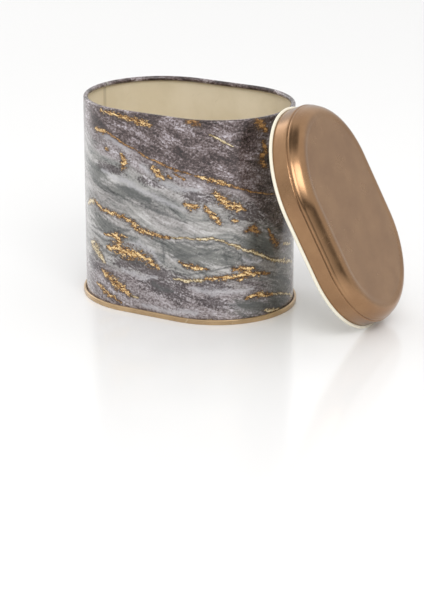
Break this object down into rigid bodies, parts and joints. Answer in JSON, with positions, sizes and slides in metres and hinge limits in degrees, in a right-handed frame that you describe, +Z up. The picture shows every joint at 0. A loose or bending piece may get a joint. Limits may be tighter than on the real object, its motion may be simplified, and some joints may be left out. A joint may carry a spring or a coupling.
{
  "type": "oval candle tin",
  "caption": "Oval tinplate candle tin with marble print, rolled rim and double-seamed bottom, its satin copper slip lid off and leaning on one end.",
  "frame": {"origin": "on the floor under the middle of the tin and its leaning lid", "axes": "+X from the tin towards the lid, along the oval; +Z up; -Y the side seen from the front"},
  "size_m": [0.1728, 0.0892, 0.1089],
  "materials": {
    "printed_tinplate": "gloss grey marble print with gold veins outside, cream lacquer inside",
    "gold_lacquered_tinplate": "satin gold lacquer",
    "sealing_compound": "matt",
    "copper_lacquered_tinplate": "satin copper lacquer outside, cream lacquer inside and on the rolled edge"
  },
  "bodies": {
    "tin": {"tin_body": "printed_tinplate", "bottom_end": "gold_lacquered_tinplate", "seam_compound": "sealing_compound"},
    "lid": {"lid": "copper_lacquered_tinplate"}
  },
  "joints": [
    {"name": "lid_lift_off", "type": "slide", "parent": "tin", "child": "lid", "axis": [0.9091, 0.0804, 0.4088], "range_m": [0, 0.12]}
  ]
}
